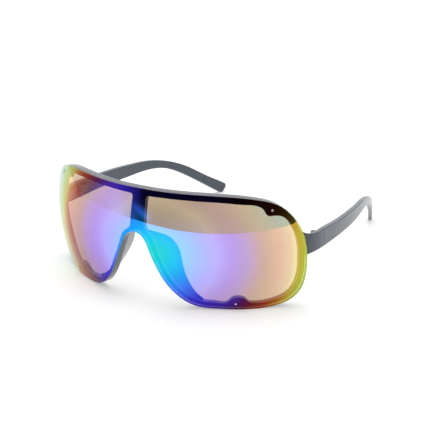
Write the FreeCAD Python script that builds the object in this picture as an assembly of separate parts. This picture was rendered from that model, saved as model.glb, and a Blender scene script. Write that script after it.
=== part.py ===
import FreeCAD, Part
import math
import os

from FreeCAD import Vector

# Shield sunglasses: one spherical lens on a moulded frame, with two folding temples.
# Millimetres. +X is the wearer's left, the front faces -Y and +Z is up.
# The origin lies on the table, under the middle of the open glasses.
# A depth is a distance behind the foremost point of the lens's sphere.

# Lens, a piece of a sphere worn upright
lens_radius = 88.3
lens_arc_width = 169.0
lens_height = 57.3
lens_equator_height = 30.1
lens_thickness = 2.0
lens_gap = 0.1

# Frame front behind the lens
frame_thickness = 3.0
frame_edge_inset = 0.1
rim_top = 3.6
rim_side = 2.9
rim_bottom = 2.6
rim_nose = 2.6
rim_edge_radius = 0.5
bridge_width = 7.8
eye_corner_radius = 1.6

# Nose flanges behind the rim, flaring away from the nose
nose_flange_depth = 17.0
nose_flange_thickness = 1.6
nose_flange_step = 0.2
nose_flange_chamfer = 0.45
nose_flare_angle = 12.5

# Pins through the lens, with their sleeves and the frame's bosses
pin_radius = 0.6
pin_proud = 0.1
pin_socket = 2.2
pin_dome = 0.35
pin_play = 0.02
bush_radius = 1.1
bush_flange_radius = 1.25
bush_flange_thickness = 0.12
bush_play = 0.03
upper_boss_radius = 3.5
lower_boss_radius = 6.4

# End pieces, from the lens's side edges back to the joints
end_piece_length = 16.0
end_root = 5.5
end_step = 0.5
end_flare_up = 6.5
end_flare_down = 2.4

# Temples
temple_level = 30.45
temple_set_out = 1.15
temple_thickness = 3.0
temple_tip_thickness = 2.3
temple_joint_height = 8.9
temple_waist_height = 4.4
temple_ear_height = 6.0
shaft_length = 73.7
shaft_fall_angle = 1.7
ear_angle = 32.6
bend_radius = 65.0
tip_corner_radius = 2.0
tip_inset = 24.0
tip_curve_power = 2.0
temple_edge_radius = 0.6
joint_gap = 0.2

# Hinges
hinge_axis_forward = 2.2
hinge_clearance = 0.25
knuckle_radius = 1.5
knuckle_gap = 0.12
knuckle_count = 3
barrel_height = 5.4
leaf_length = 8.0
leaf_height = 4.8
leaf_set_in = 0.3
anchor_start = 3.0
anchor_length = 4.0
anchor_height = 3.0
anchor_depth = 1.5
screw_radius = 0.7
screw_head_radius = 1.3
screw_head_height = 0.5
screw_slot_width = 0.35
screw_slot_depth = 0.25
screw_play = 0.05

# How far a cutting solid reaches past what it cuts, and how short an edge counts as no length at all
overrun = 1.0
no_length = 0.01

# The lens's outline on the wearer's left, clockwise from above the bridge to the top of the nose notch.
# Each point is a share of half the arc width and a share of the height.
top_shares = (
    (0, 1), (0.19, 0.998), (0.40, 0.995), (0.51, 0.988), (0.615, 0.974), (0.705, 0.952), (0.785, 0.918),
)
upper_corner_shares = ((0.880, 0.831),)
side_shares = ((0.937, 0.738), (0.976, 0.639), (1.0, 0.455), (0.982, 0.276), (0.943, 0.159))
lower_corner_shares = ((0.879, 0.073),)
bottom_shares = ((0.784, 0.021), (0.664, 0.001), (0.563, 0.001), (0.44, 0.010), (0.365, 0.019))
nose_shares = (
    (0.306, 0.047), (0.246, 0.112), (0.188, 0.215), (0.138, 0.352),
    (0.096, 0.494), (0.064, 0.590), (0.035, 0.629), (0, 0.642),
)
# Where the pins go through the lens, and the middle of the boss that holds a lower pin
upper_pin_shares = (0.771, 0.873)
lower_pin_shares = (0.562, 0.058)
lower_boss_shares = (0.570, 0)
# The bosses' outlines, as angles upwards from the temple's side, and the outline points they stand in for
upper_boss_angles = (188, 238, 290)
lower_boss_angles = (30, 60, 90, 120, 150)
upper_boss_index = 6
lower_boss_index = 16
# How deep the nose flange is from the last bottom point to the last nose point but one, as shares of its depth
flange_depth_shares = (0.24, 0.38, 0.57, 0.79, 1.0, 0.90, 0.50, 0.22)
# The planes that bound a cutting solid, as shares of the lens's radius
plug_near_share = 0.3
plug_far_share = 1.05
# Where the end piece widens towards the lens: shares of its run from the joint, and of its flare
end_top_shares = ((0, 0), (0.25, 0.03), (0.48, 0.11), (0.62, 0.25), (0.74, 0.53), (0.88, 0.85), (1, 1))
end_bottom_shares = ((0, 0), (0.45, 0.10), (0.62, 0.30), (0.75, 0.62), (1, 1))
# How the temple narrows along its shaft and widens again along its ear piece
shaft_taper_shares = ((0, 0), (0.3, 0.22), (0.6, 0.34), (0.88, 0.60), (1, 0.73))
ear_taper_shares = ((0, 0.40), (0.45, 0.47))
# Where the temple's inward curve is laid out, as shares of its run behind the hinge zone
inward_shares = (0, 0.15, 0.3, 0.45, 0.6, 0.75, 0.9, 1.0, 1.08)

# Radii of the frame's two faces, concentric with the lens
frame_front_radius = lens_radius - lens_thickness - lens_gap
frame_back_radius = frame_front_radius - frame_thickness
frame_middle_radius = (frame_front_radius + frame_back_radius) / 2

# Side edges of the lens, and what starts from them
lens_end_angle = lens_arc_width / 2 / lens_radius
lens_end_x = lens_radius * math.sin(lens_end_angle)
lens_end_depth = lens_radius * (1 - math.cos(lens_end_angle))
temple_outer_x = lens_end_x + temple_set_out
temple_inner_x = temple_outer_x - temple_thickness
joint_depth = lens_end_depth + end_piece_length
hinge_x = temple_inner_x - hinge_clearance - knuckle_radius
hinge_depth = joint_depth - hinge_axis_forward
# The stretch on each side of the joint that is straight, for the hinge leaves
hinge_zone = hinge_axis_forward + leaf_length + leaf_set_in

# The temple's centre line, seen from the side: shaft, bend and ear piece, down to the table
fall = math.radians(shaft_fall_angle)
drop = math.radians(ear_angle)
corner_depth = joint_depth + shaft_length * math.cos(fall)
corner_height = temple_level - shaft_length * math.sin(fall)
tip_half = temple_ear_height / 2 - tip_corner_radius
tip_height = tip_corner_radius * (1 - math.sin(drop)) + tip_half * math.cos(drop)
ear_length = (corner_height - tip_height) / math.sin(drop)
tip_depth = corner_depth + ear_length * math.cos(drop)
bend_reach = bend_radius * math.tan((drop - fall) / 2)
overall_depth = tip_depth + tip_corner_radius * (1 - math.cos(drop)) + tip_half * math.sin(drop)
front_y = -overall_depth / 2


def place(x, depth, z):
    """A point from its distance behind the front of the glasses."""
    return Vector(x, front_y + depth, z)


lens_centre = place(0, lens_radius, lens_equator_height)


def spline(points, start, end):
    """A smooth edge through points, with its first and last directions."""
    curve = Part.BSplineCurve()
    first, last = Vector(start).normalize(), Vector(end).normalize()
    curve.interpolate(Points=points, InitialTangent=first, FinalTangent=last, Scale=False)
    return curve.toShape()


def free_spline(points):
    """A smooth edge through points, with nothing said of its ends."""
    curve = Part.BSplineCurve()
    curve.interpolate(Points=list(points))
    return curve.toShape()


def line(start, end):
    return Part.LineSegment(start, end).toShape()


def box(low, high):
    size = high - low
    return Part.makeBox(size.x, size.y, size.z, low)


def sewn(faces):
    """A solid from the faces all round it."""
    shell = Part.makeShell(faces)
    shell.sewShape()
    solid = Part.makeSolid(shell)
    if solid.Volume < 0:
        solid.reverse()
    return solid


def long_edges(shape, behind):
    """The edges that run front to back and end behind a place."""
    boxes = [(edge, edge.BoundBox) for edge in shape.Edges]
    return [edge for edge, extent in boxes if extent.YLength > no_length and extent.YMax > behind]


def mirrored(shape):
    """The same shape on the wearer's right."""
    return shape.mirror(Vector(0, 0, 0), Vector(1, 0, 0))


def flipped(point):
    return Vector(-point.x, point.y, point.z)


# Work on the lens's sphere: a direction is a unit vector from its centre

def direction(shares):
    """The direction of an outline point given in shares."""
    across_share, height_share = shares
    x = lens_radius * math.sin(across_share * lens_end_angle)
    z = height_share * lens_height - lens_equator_height
    y = -math.sqrt(lens_radius ** 2 - x ** 2 - z ** 2)
    return Vector(x, y, z).normalize()


def inwards(directions):
    """At each point of an outline, the unit vector over the sphere into the lens."""
    last = len(directions) - 1
    vectors = []
    for i, here in enumerate(directions):
        along = directions[min(i + 1, last)] - directions[max(i - 1, 0)]
        if i in (0, last):
            along = Vector(along.x, 0, 0)
        vectors.append(along.cross(here).normalize())
    return vectors


def inset(directions, widths):
    """An outline moved into the lens by a width for each point."""
    moved = []
    for here, inward, width in zip(directions, inwards(directions), widths):
        moved.append((here * lens_radius + inward * width).normalize())
    return moved


def level_place(point, radius):
    """The place on a sphere round the lens's centre that lies level with a point of the lens."""
    z = point.z * lens_radius
    forwards = Vector(point.x, point.y, 0).normalize()
    return lens_centre + forwards * math.sqrt(radius ** 2 - z ** 2) + Vector(0, 0, z)


def ring(axis, radius, angles):
    """Directions on a circle round another direction."""
    sideways = Vector(0, 0, 1).cross(axis).normalize()
    upwards = axis.cross(sideways)
    points = []
    for angle in angles:
        turn = math.radians(angle)
        reach = sideways * (radius * math.cos(turn)) + upwards * (radius * math.sin(turn))
        points.append((axis * lens_radius + reach).normalize())
    return points


def on_plane(point, distance):
    """Where the level line inwards from a point of the lens meets an upright plane."""
    return lens_centre + Vector(point.x * distance / -point.y, -distance, point.z * lens_radius)


def outline_edge(directions, distance, start, end):
    """The edge that an outline draws on a plane, with its first and last directions."""
    lengths = [0]
    for here, there in zip(directions, directions[1:]):
        lengths.append(lengths[-1] + (there - here).Length)
    first, last = (Vector(vector.x * distance, 0, vector.z * lens_radius) for vector in (start, end))
    points = [on_plane(point, distance) for point in directions]
    tangents = {"InitialTangent": first, "FinalTangent": last, "Scale": False}
    curve = Part.BSplineCurve()
    curve.interpolate(Points=points, Parameters=lengths, **tangents)
    return curve.toShape()


def level_plug(outline_at):
    """A solid whose sides run level towards the lens's upright axis.

    outline_at gives the edges of its outline on a plane.
    """
    near = outline_at(lens_radius * plug_near_share)
    far = outline_at(lens_radius * plug_far_share)
    sides = [Part.makeRuledSurface(*pair) for pair in zip(near, far)]
    return sewn(sides + [Part.Face(Part.Wire(near)), Part.Face(Part.Wire(far))])


def symmetric_plug(directions):
    """A plug with an outline given on the wearer's left and mirrored."""
    across = Vector(1, 0, 0)
    others = [flipped(point) for point in reversed(directions)]

    def outline_at(distance):
        left = outline_edge(directions, distance, across, -across)
        return [left, outline_edge(others, distance, -across, across)]

    return level_plug(outline_at)


def spherical_shell(outer_radius, inner_radius):
    ball = Part.makeSphere(outer_radius, lens_centre)
    return ball.cut(Part.makeSphere(inner_radius, lens_centre))


def radial_cylinder(axis, radius, inner, outer):
    """A cylinder along a direction, between two distances from the lens's centre."""
    return Part.makeCylinder(radius, outer - inner, lens_centre + axis * inner, axis)


outline = []
rim_widths = []
for table, rim_width in (
    (top_shares, rim_top),
    (upper_corner_shares, (rim_top + rim_side) / 2),
    (side_shares, rim_side),
    (lower_corner_shares, (rim_side + rim_bottom) / 2),
    (bottom_shares, rim_bottom),
    (nose_shares, rim_nose),
):
    outline += [direction(shares) for shares in table]
    rim_widths += [rim_width] * len(table)
upper_pin = direction(upper_pin_shares)
lower_pin = direction(lower_pin_shares)
pin_axes = {
    "upper_left": upper_pin,
    "upper_right": flipped(upper_pin),
    "lower_left": lower_pin,
    "lower_right": flipped(lower_pin),
}


# Shield lens

def shield_lens():
    lens = spherical_shell(lens_radius, lens_radius - lens_thickness)
    lens = lens.common(symmetric_plug(outline))
    for axis in pin_axes.values():
        hole = radial_cylinder(axis, bush_radius + bush_play, frame_front_radius, lens_radius + overrun)
        lens = lens.cut(hole)
    return lens


# Frame front

def eye_plug():
    """The opening behind the lens on the wearer's left, round its two bosses."""
    rim = inset(outline, rim_widths)
    rim_height = lens_height - rim_top
    bridge_half = bridge_width / 2
    notch_height = nose_shares[-1][1] * lens_height + rim_nose
    diagonal = eye_corner_radius * math.sqrt(0.5)

    def by_size(aside, height):
        z = height - lens_equator_height
        turn, reach = aside / lens_radius, math.sqrt(lens_radius ** 2 - z ** 2)
        return Vector(reach * math.sin(turn), -reach * math.cos(turn), z).normalize()

    corner_x = bridge_half + eye_corner_radius
    corner_z = rim_height - eye_corner_radius
    bridge_low = by_size(bridge_half, notch_height)
    bridge_high = by_size(bridge_half, corner_z)
    corner_middle = by_size(corner_x - diagonal, corner_z + diagonal)
    top_start = by_size(corner_x, rim_height)
    upper_boss = ring(upper_pin, upper_boss_radius, upper_boss_angles)
    lower_boss = ring(direction(lower_boss_shares), lower_boss_radius, lower_boss_angles)
    curve = [top_start] + rim[1:upper_boss_index] + upper_boss
    curve += rim[upper_boss_index + 1:lower_boss_index] + lower_boss
    curve += rim[lower_boss_index + 1:-2] + [bridge_low]
    corner = [bridge_high, corner_middle, top_start]
    upright, across = Vector(0, 0, 1), Vector(1, 0, 0)

    def outline_at(distance):
        bridge_side = line(on_plane(bridge_low, distance), on_plane(bridge_high, distance))
        corner_edge = outline_edge(corner, distance, upright, across)
        return [bridge_side, corner_edge, outline_edge(curve, distance, across, upright)]

    return level_plug(outline_at)


def nose_flange():
    """The wing behind the rim that rests on the left side of the nose."""
    first = len(outline) - 1 - len(flange_depth_shares)
    flare = math.tan(math.radians(nose_flare_angle))
    root_inset = frame_edge_inset + nose_flange_step
    vectors = inwards(outline)
    sections = []
    for i, depth_share in enumerate(flange_depth_shares):
        here, inward = outline[first + i], vectors[first + i]
        depth = nose_flange_depth * depth_share
        root = level_place(here, frame_middle_radius) + inward * root_inset
        edge = lens_centre + here * (lens_radius - depth) + inward * (depth * flare)
        wall = inward * nose_flange_thickness
        chamfer = nose_flange_chamfer * depth_share
        back, aside = (edge - root).normalize() * chamfer, inward * chamfer
        far_edge = [edge + wall - back, edge + wall - aside, edge + aside, edge - back]
        sections.append([root, root + wall] + far_edge)
    edges = [free_spline(corner) for corner in zip(*sections)]
    sides = [Part.makeRuledSurface(edges[i - 1], edges[i]) for i in range(len(edges))]
    ends = [Part.Face(Part.makePolygon(section + section[:1])) for section in (sections[0], sections[-1])]
    return sewn(sides + ends)


def rim_place(radius, angle, z):
    """A point of the frame at the height of the lens's equator."""
    return place(radius * math.sin(angle), lens_radius - radius * math.cos(angle), z)


def end_piece():
    """The left end piece: its plan, cut to its outline seen from the side."""
    half = temple_joint_height / 2
    low = temple_level - half - end_flare_down - overrun
    high = temple_level + half + end_flare_up + overrun
    root_angle = lens_end_angle - rim_side / lens_radius
    sideways = Vector(math.cos(root_angle), math.sin(root_angle), 0)
    backwards = Vector(0, 1, 0)
    outer_radius = frame_front_radius - end_step
    inner_radius = frame_back_radius + end_step
    outer_start = rim_place(outer_radius, root_angle, low)
    outer_edge = rim_place(outer_radius, lens_end_angle, low)
    outer_end = place(temple_outer_x, joint_depth, low)
    inner_start = rim_place(inner_radius, root_angle, low)
    inner_bend = place(temple_inner_x, joint_depth - hinge_zone, low)
    inner_end = place(temple_inner_x, joint_depth, low)
    plan = Part.Wire([
        spline([outer_start, outer_edge, outer_end], sideways, backwards),
        line(outer_end, inner_end),
        line(inner_end, inner_bend),
        spline([inner_bend, inner_start], -backwards, -sideways),
        line(inner_start, outer_start),
    ])
    body = Part.Face(plan).extrude(Vector(0, 0, high - low))

    run = end_piece_length + end_root
    joint_face = joint_depth - joint_gap / 2
    top = []
    for run_share, flare_share in end_top_shares:
        z = temple_level + half + end_flare_up * flare_share
        top.append(place(0, joint_face - run * run_share, z))
    bottom = []
    for run_share, flare_share in end_bottom_shares:
        z = temple_level - half - end_flare_down * flare_share
        bottom.append(place(0, joint_face - run * run_share, z))
    side = Part.Wire([
        spline(top, -backwards, top[-1] - top[-2]),
        line(top[-1], bottom[-1]),
        spline(bottom[::-1], backwards, backwards),
        line(bottom[0], top[0]),
    ])
    piece = body.common(Part.Face(side).extrude(Vector(temple_outer_x + overrun, 0, 0)))
    return piece.makeFillet(temple_edge_radius, long_edges(piece, outer_edge.y))


def on_back(edge):
    """Whether an edge of the frame lies on its back sphere, all along."""
    first, last = edge.ParameterRange
    points = (edge.valueAt(first), edge.valueAt((first + last) / 2), edge.valueAt(last))
    return all(abs((point - lens_centre).Length - frame_back_radius) < no_length for point in points)


def frame_front():
    frame = spherical_shell(frame_front_radius, frame_back_radius)
    frame = frame.common(symmetric_plug(inset(outline, [frame_edge_inset] * len(outline))))
    eye = eye_plug()
    frame = frame.cut(eye).cut(mirrored(eye))
    frame = frame.makeFillet(rim_edge_radius, [edge for edge in frame.Edges if on_back(edge)])
    for piece in (nose_flange(), end_piece()):
        frame = frame.fuse(piece).fuse(mirrored(piece))
    for axis in pin_axes.values():
        socket = radial_cylinder(axis, pin_radius + pin_play, frame_front_radius - pin_socket, lens_radius)
        frame = frame.cut(socket)
    pocket = leaf_anchor(-1)
    return frame.cut(pocket).cut(mirrored(pocket)).removeSplitter()


# Lens pins and their sleeves

def lens_bush(axis):
    sleeve = radial_cylinder(axis, bush_radius, frame_front_radius, lens_radius)
    flange = radial_cylinder(axis, bush_flange_radius, lens_radius, lens_radius + bush_flange_thickness)
    bore = radial_cylinder(axis, pin_radius + pin_play, frame_back_radius, lens_radius + overrun)
    return sleeve.fuse(flange).cut(bore).removeSplitter()


def lens_pin(axis):
    tip = lens_radius + bush_flange_thickness + pin_proud
    pin = radial_cylinder(axis, pin_radius, frame_front_radius - pin_socket, tip)
    tip_edges = [edge for edge in pin.Edges if (edge.CenterOfMass - lens_centre).dot(axis) > lens_radius]
    return pin.makeFillet(pin_dome, tip_edges)


# Temples

def temple_edges():
    """The temple's top and bottom edges seen from the side, from the joint to its rounded tip."""
    shaft = Vector(0, math.cos(fall), -math.sin(fall))
    ear = Vector(0, math.cos(drop), -math.sin(drop))
    start = place(0, joint_depth + joint_gap / 2, temple_level)
    corner = place(0, corner_depth, corner_height)
    tip = place(0, tip_depth, tip_height)
    across = Vector(1, 0, 0)
    shaft_up, ear_up = across.cross(shaft), across.cross(ear)

    stations = []
    straight = shaft_length - bend_reach
    for along_share, taper_share in shaft_taper_shares:
        height = temple_joint_height + (temple_waist_height - temple_joint_height) * taper_share
        up = shaft_up if along_share else Vector(0, 0, 1)
        stations.append((start + shaft * (straight * along_share), up, height))
    middle_up = (shaft_up + ear_up).normalize()
    to_arc = bend_radius * (1 / math.cos((drop - fall) / 2) - 1)
    stations.append((corner - middle_up * to_arc, middle_up, temple_waist_height))
    ear_straight = ear_length - bend_reach
    for along_share, taper_share in ear_taper_shares:
        height = temple_waist_height + (temple_ear_height - temple_waist_height) * taper_share
        stations.append((corner + ear * (bend_reach + ear_straight * along_share), ear_up, height))
    stations.append((tip - ear * tip_corner_radius, ear_up, temple_ear_height))

    top = [point + up * (height / 2) for point, up, height in stations]
    bottom = [point - up * (height / 2) for point, up, height in stations]
    return top, bottom, tip, ear, ear_up


def temple_profile():
    """The temple's outline seen from the side."""
    top, bottom, tip, ear, up = temple_edges()
    shaft = Vector(0, math.cos(fall), -math.sin(fall))
    diagonal = tip_corner_radius * math.sqrt(0.5)
    upper, lower = tip + up * tip_half, tip - up * tip_half
    back = ear * tip_corner_radius
    upper_middle = upper - back + (ear + up) * diagonal
    lower_middle = lower - back + (ear - up) * diagonal
    return Part.Wire([
        spline(top, shaft, ear),
        Part.Arc(top[-1], upper_middle, upper).toShape(),
        line(upper, lower),
        Part.Arc(lower, lower_middle, bottom[-1]).toShape(),
        spline(bottom[::-1], -ear, -shaft),
        line(bottom[0], top[0]),
    ])


def temple_plan():
    """The temple's outline seen from above: straight at the hinge, then curving inwards."""
    zone = joint_depth + hinge_zone
    run = overall_depth - zone
    outer, inner = [], []
    for share in inward_shares:
        slope = tip_inset * tip_curve_power * share ** (tip_curve_power - 1) / run
        outwards = Vector(1, slope, 0).normalize()
        thickness = temple_thickness + (temple_tip_thickness - temple_thickness) * share
        point = place(temple_inner_x - tip_inset * share ** tip_curve_power, zone + run * share, 0)
        inner.append(point)
        outer.append(point + outwards * thickness)
    backwards = Vector(0, 1, 0)
    tangent = Vector(-slope, 1, 0)
    outer_front = place(temple_outer_x, joint_depth, 0)
    inner_front = place(temple_inner_x, joint_depth, 0)
    return Part.Wire([
        line(outer_front, outer[0]),
        spline(outer, backwards, tangent),
        line(outer[-1], inner[-1]),
        spline(inner[::-1], -tangent, -backwards),
        line(inner[0], inner_front),
        line(inner_front, outer_front),
    ])


def temple():
    """The left temple, with a rounded edge all along and the pocket for its hinge leaf."""
    profile = Part.Face(temple_profile()).extrude(Vector(temple_outer_x + overrun, 0, 0))
    height = temple_level + temple_joint_height
    arm = profile.common(Part.Face(temple_plan()).extrude(Vector(0, 0, height)))
    return arm.makeFillet(temple_edge_radius, long_edges(arm, front_y)).cut(leaf_anchor(1))


# Hinges: a knuckle of the temple's leaf turns between two knuckles of the front leaf

def knuckle_span(index):
    """The lowest and highest point of a knuckle, counted from below."""
    pitch = (barrel_height + knuckle_gap) / knuckle_count
    low = temple_level - barrel_height / 2 + index * pitch
    return low, low + pitch - knuckle_gap


def leaf_box(towards, across, along, upright):
    """A box by its spans in X, from the hinge axis and in Z.

    towards is -1 for the front leaf and 1 for the temple's.
    """
    first, last = sorted(towards * distance for distance in along)
    low = place(across[0], hinge_depth + first, upright[0])
    return box(low, place(across[1], hinge_depth + last, upright[1]))


def leaf_anchor(towards):
    """The tongue that holds a hinge leaf in the plastic."""
    along = (anchor_start, anchor_start + anchor_length)
    upright = (temple_level - anchor_height / 2, temple_level + anchor_height / 2)
    return leaf_box(towards, (temple_inner_x, temple_inner_x + anchor_depth), along, upright)


def hinge_leaf(towards, knuckles):
    plate_start = max(knuckle_radius + hinge_clearance, hinge_axis_forward + joint_gap)
    plate_x = hinge_x + leaf_set_in
    upright = (temple_level - leaf_height / 2, temple_level + leaf_height / 2)
    leaf = leaf_box(towards, (plate_x, temple_inner_x), (plate_start, leaf_length), upright)
    leaf = leaf.fuse(leaf_anchor(towards))
    for index in knuckles:
        z_low, z_high = knuckle_span(index)
        axis_point = place(hinge_x, hinge_depth, z_low)
        knuckle = Part.makeCylinder(knuckle_radius, z_high - z_low, axis_point)
        neck_span = (plate_x, hinge_x + knuckle_radius)
        neck = leaf_box(towards, neck_span, (0, plate_start + leaf_set_in), (z_low, z_high))
        bore = Part.makeCylinder(screw_radius + screw_play, z_high - z_low, axis_point)
        leaf = leaf.fuse(knuckle.fuse(neck).cut(bore))
    return leaf.removeSplitter()


def hinge_screw():
    bottom = place(hinge_x, hinge_depth, temple_level - barrel_height / 2)
    top = place(hinge_x, hinge_depth, temple_level + barrel_height / 2)
    shank = Part.makeCylinder(screw_radius, barrel_height, bottom)
    head = Part.makeCylinder(screw_head_radius, screw_head_height, top)
    reach = Vector(screw_head_radius, screw_slot_width / 2, 0)
    floor = Vector(0, 0, screw_head_height - screw_slot_depth)
    slot = box(top - reach + floor, top + reach + Vector(0, 0, screw_head_height))
    return shank.fuse(head).cut(slot)


def pieces():
    """Every piece of the glasses, by name."""
    parts = {"shield_lens": shield_lens(), "frame_front": frame_front()}
    for corner, axis in pin_axes.items():
        parts["lens_bush_" + corner] = lens_bush(axis)
        parts["lens_pin_" + corner] = lens_pin(axis)
    handed = {
        "temple": temple(),
        "hinge_front_leaf": hinge_leaf(-1, (0, 2)),
        "hinge_temple_leaf": hinge_leaf(1, (1,)),
        "hinge_screw": hinge_screw(),
    }
    for name, shape in handed.items():
        parts[name + "_left"] = shape
        parts[name + "_right"] = mirrored(shape)
    return parts


os.makedirs("parts", exist_ok=True)
for name, shape in pieces().items():
    print(name, "solids", len(shape.Solids), "valid", shape.isValid(), "volume", round(shape.Volume, 2))
    if len(shape.Solids) != 1:
        raise ValueError(name + " is not one solid")
    shape.Solids[0].exportStep("parts/" + name + ".step")
print("hinge axis", place(hinge_x, hinge_depth, temple_level), "front", front_y)
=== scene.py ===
# %% [markdown]
# # Shield sunglasses
# The glasses come in as finished solids: a spherical lens, the frame behind it, two temples and
# their hinges. This lesson dresses them. Each step says what a surface is on the real object
# and how its finish is made.

# %% Load the solids
import math

import bmesh
import bpy
from mathutils import Matrix, Vector

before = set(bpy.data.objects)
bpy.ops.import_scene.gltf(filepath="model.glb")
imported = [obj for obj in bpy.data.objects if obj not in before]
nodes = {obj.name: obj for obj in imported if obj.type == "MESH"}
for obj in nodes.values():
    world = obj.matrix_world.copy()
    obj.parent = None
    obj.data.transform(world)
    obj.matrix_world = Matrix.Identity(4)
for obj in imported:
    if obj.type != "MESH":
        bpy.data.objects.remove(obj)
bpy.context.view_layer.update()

# %% [markdown]
# ## Camera
# The picture was taken from the wearer's left and a little above, from about sixty centimetres away.
# A camera could be placed by eye, but an azimuth, an elevation and a position are easier to check.
# The distance sets how much smaller the far temple looks than the near one.
# The focal length then sets how large the glasses are in the picture.

# %% Camera
camera_azimuth = math.radians(30.18)
camera_elevation = math.radians(19.65)
camera_position = Vector((0.30957, -0.54131, 0.24170))
camera_focal_length = 104.94
camera_sensor_width = 36.0

towards_camera = Vector((
    math.sin(camera_azimuth) * math.cos(camera_elevation),
    -math.cos(camera_azimuth) * math.cos(camera_elevation),
    math.sin(camera_elevation),
))
camera_data = bpy.data.cameras.new("studio_camera")
camera_data.lens = camera_focal_length
camera_data.sensor_width = camera_sensor_width
camera = bpy.data.objects.new("studio_camera", camera_data)
camera.location = camera_position
camera.rotation_mode = "QUATERNION"
camera.rotation_quaternion = (-towards_camera).to_track_quat("-Z", "Y")
bpy.context.scene.collection.objects.link(camera)
bpy.context.scene.camera = camera
bpy.context.scene.view_settings.view_transform = "Standard"
print("camera", tuple(round(v, 3) for v in camera.location))

# %% [markdown]
# ## Shader nodes
# Every finish here is a small tree of shader nodes. Such a tree can be drawn by hand in the editor.
# In a script, one helper adds a node and fills in or joins its inputs, and another does arithmetic.
# That keeps each finish short enough to read as a recipe.

# %% Shader nodes
def add_node(tree, kind, inputs=None, **settings):
    """A new node with its settings. Its inputs are plain values or other nodes' outputs."""
    made = tree.nodes.new(kind)
    for name, value in settings.items():
        setattr(made, name, value)
    for key, value in (inputs or {}).items():
        if isinstance(value, bpy.types.NodeSocket):
            tree.links.new(value, made.inputs[key])
        else:
            made.inputs[key].default_value = value
    return made


def calculate(tree, operation, *values):
    """The output of a Math node."""
    return add_node(tree, "ShaderNodeMath", dict(enumerate(values)), operation=operation).outputs[0]


def empty_material(name):
    """A material with nothing in it yet, its tree, and the input that its surface goes to."""
    material = bpy.data.materials.new(name)
    material.use_nodes = True
    tree = material.node_tree
    tree.nodes.clear()
    output = add_node(tree, "ShaderNodeOutputMaterial")
    return material, tree, output.inputs["Surface"]


# %% [markdown]
# ## White board
# The glasses lie on a white board whose near edge shows in the lens as the line between pale and dark.
# A plane without an end would put that line too high, so the board has the size of a table top.
# A third of its white is its own, so that it stays white in the picture. The rest takes the light,
# and so keeps the small soft shadow where the lens touches it.

# %% Shape of the board
# The edges as the camera sees them, in metres from the middle of the glasses, before the board is turned
board_near = -0.376
board_far = 1.2
board_left = -0.43
board_right = 1.3
board_turn = math.radians(19.3)
board_corner_radius = 0.22
board_corner_segments = 12
# The board lies a hair under the glasses, so that the two surfaces don't flicker where they touch
board_drop = 0.0001

shape = bmesh.new()
bmesh.ops.create_grid(shape, x_segments=1, y_segments=1, size=1.0)
for vert in shape.verts:
    vert.co.x = board_left if vert.co.x < 0 else board_right
    vert.co.y = board_near if vert.co.y < 0 else board_far
    vert.co.z = -board_drop
bmesh.ops.bevel(
    shape, geom=shape.verts[:], offset=board_corner_radius, segments=board_corner_segments,
    affect="VERTICES", profile=0.5, material=-1,
)
bmesh.ops.rotate(shape, verts=shape.verts, matrix=Matrix.Rotation(board_turn, 3, "Z"))
board_mesh = bpy.data.meshes.new("white_board")
shape.to_mesh(board_mesh)
shape.free()
board = bpy.data.objects.new("white_board", board_mesh)
bpy.context.scene.collection.objects.link(board)
print("board", len(board_mesh.vertices), "vertices")

# %% Finish of the board
board_colour = (0.77, 0.77, 0.77, 1)
board_own_light = 0.33
white = (1, 1, 1, 1)

material, tree, surface = empty_material("white_board")
path = add_node(tree, "ShaderNodeLightPath").outputs
seen = calculate(tree, "MAXIMUM", path["Is Camera Ray"], path["Is Glossy Ray"])
seen = calculate(tree, "MAXIMUM", seen, path["Is Transmission Ray"])
own_light = calculate(tree, "MULTIPLY", seen, board_own_light)
lit = add_node(tree, "ShaderNodeBsdfDiffuse", {"Color": board_colour})
glow = add_node(tree, "ShaderNodeEmission", {"Color": white, "Strength": own_light})
both = add_node(tree, "ShaderNodeAddShader", {0: lit.outputs[0], 1: glow.outputs[0]})
tree.links.new(both.outputs[0], surface)
board_mesh.materials.append(material)
print(material.name, "gives", board_own_light, "of its white by itself")

# %% [markdown]
# ## Room
# The room is white to look at. What the mirror sees of it differs: bright walls all round,
# but a dark side where the camera stands. That is what makes the top of the lens go deep and clear.
# One lit strip crosses the edge of the dark side, and the wall behind the glasses is a little brighter.
# Black cards could stand round the board, but a world that only mirror rays see as dark
# casts no shadow and is never in view.

# %% Ranges, mixes and ramps
def map_range(tree, value, from_range, to_range):
    """A number moved from one range to another, and held inside it."""
    inputs = dict(enumerate((value, *from_range, *to_range)))
    return add_node(tree, "ShaderNodeMapRange", inputs).outputs[0]


def mix_numbers(tree, share, first, second):
    """A number between two others, by a share from 0 to 1."""
    return add_node(tree, "ShaderNodeMix", {0: share, 2: first, 3: second}, data_type="FLOAT").outputs[0]


def ramp_of(tree, number, stops, start, span):
    """A colour ramp's output. Its stops, colours or greys, lie on a scale from start that is span long."""
    share = calculate(tree, "DIVIDE", calculate(tree, "SUBTRACT", number, start), span)
    made = add_node(tree, "ShaderNodeValToRGB", {0: share})
    elements = made.color_ramp.elements
    elements.remove(elements[1])
    for index, (place, colour) in enumerate(stops):
        position = (place - start) / span
        element = elements.new(position) if index else elements[0]
        element.position = position
        element.color = (*colour, 1) if isinstance(colour, tuple) else (colour, colour, colour, 1)
    return made.outputs["Color"]


# %% Walls and dark side
# How white the walls are by direction, in degrees from straight ahead towards the wearer's left.
# Where they aren't white at all, the dark side shows.
wall_levels = (
    (-180, 1.0), (-110, 1.0), (-85, 0.8), (-50, 0.9), (-28, 0.0), (78, 0.0), (100, 1.0), (180, 1.0),
)
# How bright the dark side is by height, from straight down at -1 to straight up at 1
dark_levels = ((-0.13, 0.16), (-0.02, 0.08), (0.06, 0.035), (0.20, 0.02), (0.55, 0.05), (0.80, 1.0))

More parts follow.
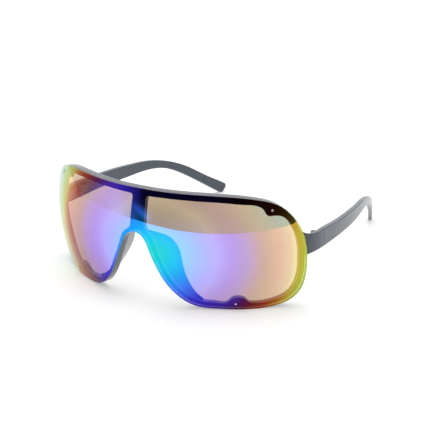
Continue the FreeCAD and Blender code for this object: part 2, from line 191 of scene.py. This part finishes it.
world = bpy.data.worlds.new("studio_room")
bpy.context.scene.world = world
world.use_nodes = True
tree = world.node_tree
tree.nodes.clear()
direction = add_node(tree, "ShaderNodeTexCoord").outputs["Generated"]
leftwards, backwards, upwards = add_node(tree, "ShaderNodeSeparateXYZ", {0: direction}).outputs
forwards = calculate(tree, "MULTIPLY", backwards, -1.0)
azimuth = calculate(tree, "DEGREES", calculate(tree, "ARCTAN2", leftwards, forwards))
walls = ramp_of(tree, azimuth, wall_levels, start=-180.0, span=360.0)
dark_side = ramp_of(tree, upwards, dark_levels, start=-1.0, span=2.0)
mirrored_room = mix_numbers(tree, walls, dark_side, 1.0)
print("walls", len(wall_levels), "levels, dark side", len(dark_levels), "levels")

# %% Lit strip and back wall
# The strip's lower end, as a direction and a height in degrees, and its rise for each degree of direction
strip_end = -16.0
strip_end_height = -5.0
strip_slope = -0.36
# How far its light reaches up and down, and how long its lower end takes to fade, both in degrees
strip_reach = 5.2
strip_fade = 8.0
strip_level = 0.5
# How far back a direction points where the back wall begins, and where it has its full level
back_wall_range = (0.3, 0.7)
back_wall_level = 1.1

elevation = calculate(tree, "DEGREES", calculate(tree, "ARCSINE", upwards))
along_strip = calculate(tree, "SUBTRACT", azimuth, strip_end)
rise = calculate(tree, "MULTIPLY", along_strip, strip_slope)
strip_height = calculate(tree, "ADD", rise, strip_end_height)
from_strip = calculate(tree, "ABSOLUTE", calculate(tree, "SUBTRACT", elevation, strip_height))
across = map_range(tree, from_strip, (0.0, strip_reach), (strip_level, 0.0))
before_end = map_range(tree, along_strip, (-strip_fade, 0.0), (1.0, 0.0))
strip = calculate(tree, "MULTIPLY", across, before_end)
mirrored_room = calculate(tree, "MAXIMUM", mirrored_room, strip)
back_wall = map_range(tree, backwards, back_wall_range, (1.0, back_wall_level))
mirrored_room = calculate(tree, "MULTIPLY", mirrored_room, back_wall)
print("strip level", strip_level, "and back wall level", back_wall_level)

# %% Room
room_fill = 0.7

path = add_node(tree, "ShaderNodeLightPath").outputs
seen = calculate(tree, "MAXIMUM", path["Is Camera Ray"], path["Is Transmission Ray"])
lit = mix_numbers(tree, seen, room_fill, 1.0)
strength = mix_numbers(tree, path["Is Glossy Ray"], lit, mirrored_room)
background = add_node(tree, "ShaderNodeBackground", {"Color": white, "Strength": strength})
add_node(tree, "ShaderNodeOutputWorld", {"Surface": background.outputs[0]})
print("room", len(tree.nodes), "nodes")

# %% [markdown]
# ## Soft light
# One wide soft box hangs over the board. It gives the faint shadow under the lens and the soft light
# along the tops of the temples. A small hard lamp would draw sharp shadows that a light tent doesn't have.

# %% Soft light
soft_box_size = 1.2
soft_box_power = 9.0
soft_box_place = Vector((-0.15, 0.25, 1.3))

light_data = bpy.data.lights.new("soft_box", "AREA")
light_data.shape = "SQUARE"
light_data.size = soft_box_size
light_data.energy = soft_box_power
light = bpy.data.objects.new("soft_box", light_data)
light.location = soft_box_place
light.rotation_mode = "QUATERNION"
light.rotation_quaternion = (-soft_box_place).to_track_quat("-Z", "Y")
bpy.context.scene.collection.objects.link(light)
print("soft box", light_data.energy, "W")

# %% [markdown]
# ## Slate plastic
# Frame and temples are moulded in one blue-grey plastic with a satin skin.
# Seen along the surface it turns pale, because it mirrors the white room there.
# A thin coat and a little sheen give that. A paler base colour would wash out the faces seen straight on.
# The mould leaves a very fine grain, far smaller than a millimetre. It is a noise in roughness and height.
# The seat, the face that the lens lies on, gets a near-black colour: painted shade, since hardly any light
# gets in between the two.

# %% Patterns, mixes and finishes
def place_on_piece(tree):
    """The point that is being coloured, in the piece's own coordinates."""
    return add_node(tree, "ShaderNodeTexCoord").outputs["Object"]


def noise_of(tree, place, scale, detail=2.0):
    """A soft uneven pattern with about so many spots to the metre."""
    inputs = {"Vector": place, "Scale": scale, "Detail": detail}
    return add_node(tree, "ShaderNodeTexNoise", inputs).outputs[0]


def mix_colours(tree, share, first, second):
    """A colour between two others, by a share from 0 to 1."""
    return add_node(tree, "ShaderNodeMix", {0: share, 6: first, 7: second}, data_type="RGBA").outputs[2]


def mix_shaders(tree, share, first, second):
    """A surface between two others, by a share from 0 to 1."""
    return add_node(tree, "ShaderNodeMixShader", {0: share, 1: first, 2: second}).outputs[0]


def finish_nodes(material, *names):
    """Gives CAD nodes a finish."""
    for name in names:
        nodes[name].data.materials.clear()
        nodes[name].data.materials.append(material)
    print(material.name, "on", ", ".join(names))


# %% Place of the lens
lens_radius = 0.0883
lens_thickness = 0.002
lens_front_y = -0.0846976
lens_middle_height = 0.0301
lens_centre = Vector((0, lens_front_y + lens_radius, lens_middle_height))


def from_lens_centre(tree, place):
    """How far a point is from the centre of the sphere that the lens is a part of."""
    made = add_node(tree, "ShaderNodeVectorMath", {0: place, 1: lens_centre}, operation="DISTANCE")
    return made.outputs["Value"]


print("centre of the lens's sphere", tuple(round(v, 4) for v in lens_centre))

# %% Slate plastic
slate_dark = (0.038, 0.055, 0.080, 1)
slate_light = (0.050, 0.070, 0.099, 1)
slate_ior = 1.5
cloud_scale = 45.0
cloud_detail = 3.0
grain_scale = 2600.0
grain_roughness = (0.22, 0.32)
seat_painted_shade_colour = (0.012, 0.013, 0.016, 1)
seat_gap = 0.0001
seat_margin = 0.00003
seat_radius = lens_radius - lens_thickness - seat_gap

material, tree, surface = empty_material("slate_plastic")
place = place_on_piece(tree)
clouds = noise_of(tree, place, cloud_scale, cloud_detail)
grain = noise_of(tree, place, grain_scale)
bump = add_node(tree, "ShaderNodeBump", {"Strength": 0.05, "Distance": 0.00003, "Height": grain})
plastic = add_node(tree, "ShaderNodeBsdfPrincipled", {
    "Base Color": mix_colours(tree, clouds, slate_dark, slate_light),
    "Roughness": map_range(tree, grain, (0.0, 1.0), grain_roughness),
    "Normal": bump.outputs[0],
    "IOR": slate_ior,
    "Coat Weight": 0.35,
    "Coat Roughness": 0.2,
    "Coat IOR": slate_ior,
    "Sheen Weight": 0.4,
    "Sheen Roughness": 0.25,
})
# Painted shade: a near-black diffuse on the seat, where the lens lies against the frame
painted_seat_shade = add_node(tree, "ShaderNodeBsdfDiffuse", {"Color": seat_painted_shade_colour})
on_painted_seat_shade = calculate(tree, "COMPARE", from_lens_centre(tree, place), seat_radius, seat_margin)
tree.links.new(mix_shaders(tree, on_painted_seat_shade, plastic.outputs[0], painted_seat_shade.outputs[0]), surface)
finish_nodes(material, "frame_front", "temple_left", "temple_right")

# %% [markdown]
# ## Mirror lens
# The lens is tan polycarbonate with a rainbow mirror on its front. The mirror is a stack of clear films.
# Its colour runs from teal in the middle through blue, violet, red and orange to yellow-green at the ends,
# as the films get thinner where the lens curves back. The pattern sits a little towards the wearer's left.
# So one number sets the colour: how far back a point lies, less a little for how far it lies to the left,
# and a little more for how far it lies above or below the middle.
# A real film also shifts with the angle it is seen from.
# A pattern that is fixed to the lens is simpler, gives the same row of colours, and can be baked.

# %% Colours of the films
# How much that number changes over one lens radius
depth_weight = 2.0
left_weight = -0.257
height_weight = 0.071
# And how much it changes with the square of the height
bow_weight = 0.394
film_start = -0.03
film_span = 1.1
# What the films mirror, along that number
mirror_colours = (
    (-0.020, (0.006, 0.60, 0.56)),
    (-0.005, (0.007, 0.52, 0.80)),
    (0.02, (0.008, 0.33, 0.88)),
    (0.06, (0.035, 0.165, 0.88)),
    (0.11, (0.037, 0.045, 0.66)),
    (0.17, (0.042, 0.020, 0.49)),
    (0.24, (0.058, 0.020, 0.32)),
    (0.30, (0.085, 0.010, 0.10)),
    (0.36, (0.17, 0.014, 0.02)),
    (0.44, (0.32, 0.040, 0.008)),
    (0.51, (0.40, 0.14, 0.010)),
    (0.57, (0.47, 0.34, 0.03)),
    (0.62, (0.40, 0.45, 0.05)),
    (0.72, (0.34, 0.50, 0.16)),
    (0.85, (0.30, 0.48, 0.42)),
    (1.05, (0.28, 0.44, 0.58)),
)
# What films and tan lens together let through
through_colours = (
    (-0.02, (0.26, 0.15, 0.10)),
    (0.04, (0.36, 0.27, 0.16)),
    (0.10, (0.45, 0.35, 0.22)),
    (0.15, (0.42, 0.30, 0.23)),
    (0.20, (0.43, 0.30, 0.24)),
    (0.30, (0.48, 0.37, 0.25)),
    (0.38, (0.44, 0.42, 0.30)),
    (0.48, (0.37, 0.44, 0.35)),
    (0.70, (0.36, 0.44, 0.39)),
)
print("films", len(mirror_colours), "mirrored colours,", len(through_colours), "let through")

# %% Place in the films
def film_number(tree, place):
    """Where a point lies in the films' row of colours."""
    lens_front = (0, lens_front_y, lens_middle_height)
    from_front = add_node(tree, "ShaderNodeVectorMath", {0: place, 1: lens_front}, operation="SUBTRACT")
    in_radii = add_node(tree, "ShaderNodeVectorMath", {
        0: from_front.outputs[0], "Scale": 1.0 / lens_radius,
    }, operation="SCALE")
    left, depth, height = add_node(tree, "ShaderNodeSeparateXYZ", {0: in_radii.outputs[0]}).outputs
    by_depth = calculate(tree, "MULTIPLY", depth, depth_weight)
    by_left = calculate(tree, "MULTIPLY", left, left_weight)
    slope = calculate(tree, "ADD", calculate(tree, "MULTIPLY", height, bow_weight), height_weight)
    by_height = calculate(tree, "MULTIPLY", height, slope)
    return calculate(tree, "ADD", calculate(tree, "ADD", by_depth, by_left), by_height)


# %% [markdown]
# ## Faces of the lens
# The front adds what the films mirror to what they let through, and a view that skims it lets less through.
# The back has only the gloss of bare plastic, and the edge is ground and dark.
# Three pieces could carry the three faces, but the lens is one solid.
# So each point's distance from the centre of the sphere says which face it is on.

# %% Front of the lens
film_ior = 2.0
# How glossy the films look where a view begins to skim them, and where it skims them fully
skimming_range = (0.115, 0.30)
skimming_most = 0.85
skimming_colour = (0.12, 0.05, 0.13, 1)
mirror_share_from_behind = 0.15
mirror_dark = (0.01, 0.01, 0.01, 1)
lens_roughness = 0.03

material, tree, surface = empty_material("mirror_lens")
place = place_on_piece(tree)
film = film_number(tree, place)
mirrored = ramp_of(tree, film, mirror_colours, film_start, film_span)
let_through = ramp_of(tree, film, through_colours, film_start, film_span)
behind = add_node(tree, "ShaderNodeNewGeometry").outputs["Backfacing"]
in_front = calculate(tree, "SUBTRACT", 1.0, behind)

film_gloss = add_node(tree, "ShaderNodeFresnel", {"IOR": film_ior}).outputs[0]
skimming = map_range(tree, film_gloss, skimming_range, (0.0, skimming_most))
skimming = calculate(tree, "MULTIPLY", skimming, in_front)
let_through = mix_colours(tree, skimming, let_through, skimming_colour)
clear = add_node(tree, "ShaderNodeBsdfTransparent", {"Color": let_through})

mirror_share = mix_numbers(tree, behind, 1.0, mirror_share_from_behind)
mirror = add_node(tree, "ShaderNodeBsdfPrincipled", {
    "Base Color": mix_colours(tree, mirror_share, mirror_dark, mirrored),
    "Metallic": 1.0,
    "Roughness": lens_roughness,
})
front_face = add_node(tree, "ShaderNodeAddShader", {0: mirror.outputs[0], 1: clear.outputs[0]}).outputs[0]
print("front of the lens", len(tree.nodes), "nodes")

# %% Back and edge of the lens
lens_ior = 1.55
edge_colour = (0.09, 0.09, 0.095, 1)
edge_roughness = 0.3
edge_colour_inside = (0.012, 0.012, 0.014, 1)

gloss = add_node(tree, "ShaderNodeFresnel", {"IOR": lens_ior}).outputs[0]
gloss = calculate(tree, "MULTIPLY", gloss, in_front)
bare = add_node(tree, "ShaderNodeBsdfTransparent", {"Color": white})
shine = add_node(tree, "ShaderNodeBsdfGlossy", {"Color": white, "Roughness": lens_roughness})
back_face = mix_shaders(tree, gloss, bare.outputs[0], shine.outputs[0])

edge = add_node(tree, "ShaderNodeBsdfPrincipled", {"Base Color": edge_colour, "Roughness": edge_roughness})
edge_inside = add_node(tree, "ShaderNodeBsdfDiffuse", {"Color": edge_colour_inside})
edge_face = mix_shaders(tree, behind, edge.outputs[0], edge_inside.outputs[0])
print("front, back and edge of the lens", len(tree.nodes), "nodes")

# %% Mirror lens
# How near to the front or back a point on that face may lie, as a share of the thickness
face_margin = 0.05

distance = from_lens_centre(tree, place)
is_front = calculate(tree, "GREATER_THAN", distance, lens_radius - lens_thickness * face_margin)
is_back = calculate(tree, "LESS_THAN", distance, lens_radius - lens_thickness * (1 - face_margin))
front_or_edge = mix_shaders(tree, is_front, edge_face, front_face)
tree.links.new(mix_shaders(tree, is_back, front_or_edge, back_face), surface)
finish_nodes(material, "shield_lens")

# %% [markdown]
# ## Lens pins
# Each lens pin is a small polished steel rod, and its end shows as a bright dot.
# A perfect mirror would be white in one view and black in the next.
# A fine noise in the roughness blurs it a little, as the marks of the polishing wheel do.

# %% Lens pins
corners = ("upper_left", "upper_right", "lower_left", "lower_right")
pin_colour = (0.80, 0.80, 0.82, 1)
pin_mark_scale = 3000.0
pin_roughness = (0.10, 0.22)

material, tree, surface = empty_material("pin_steel")
marks = noise_of(tree, place_on_piece(tree), pin_mark_scale)
steel = add_node(tree, "ShaderNodeBsdfPrincipled", {
    "Base Color": pin_colour,
    "Metallic": 1.0,
    "Roughness": map_range(tree, marks, (0.0, 1.0), pin_roughness),
})
tree.links.new(steel.outputs[0], surface)
finish_nodes(material, *["lens_pin_" + corner for corner in corners])

# %% [markdown]
# ## Sleeves
# A sleeve sits between each pin and the lens. Its head carries the same films as the lens round it,
# so that only the pin shows. The sleeves could take a plain colour each, but the films' number
# already gives the right one at every corner.

# %% Sleeves
sleeve_grain_scale = 4000.0
sleeve_roughness = (0.03, 0.07)

material, tree, surface = empty_material("sleeve_plastic")
place = place_on_piece(tree)
grain = noise_of(tree, place, sleeve_grain_scale)
sleeve = add_node(tree, "ShaderNodeBsdfPrincipled", {
    "Base Color": ramp_of(tree, film_number(tree, place), mirror_colours, film_start, film_span),
    "Metallic": 1.0,
    "Roughness": map_range(tree, grain, (0.0, 1.0), sleeve_roughness),
})
tree.links.new(sleeve.outputs[0], surface)
finish_nodes(material, *["lens_bush_" + corner for corner in corners])

# %% [markdown]
# ## Hinges
# The hinges' leaves and screws are dark plated steel, turned and brushed.
# Brushed metal has fine lines round its axis. They are far too fine to be cut into the mesh.
# A noise that is packed closer along the upright axis gives those lines without any picture.

# %% Hinges
sides = ("left", "right")
hinge_pieces = ("hinge_front_leaf_", "hinge_temple_leaf_", "hinge_screw_")
hinge_colour = (0.15, 0.155, 0.165, 1)
hinge_line_scale = (600.0, 600.0, 9000.0)
hinge_roughness = (0.22, 0.38)

material, tree, surface = empty_material("hinge_steel")
stretched = add_node(tree, "ShaderNodeMapping", {"Vector": place_on_piece(tree), "Scale": hinge_line_scale})
lines = noise_of(tree, stretched.outputs[0], 1.0)
bump = add_node(tree, "ShaderNodeBump", {"Strength": 0.1, "Distance": 0.00002, "Height": lines})
steel = add_node(tree, "ShaderNodeBsdfPrincipled", {
    "Base Color": hinge_colour,
    "Metallic": 1.0,
    "Roughness": map_range(tree, lines, (0.0, 1.0), hinge_roughness),
    "Normal": bump.outputs[0],
})
tree.links.new(steel.outputs[0], surface)
finish_nodes(material, *[piece + side for side in sides for piece in hinge_pieces])
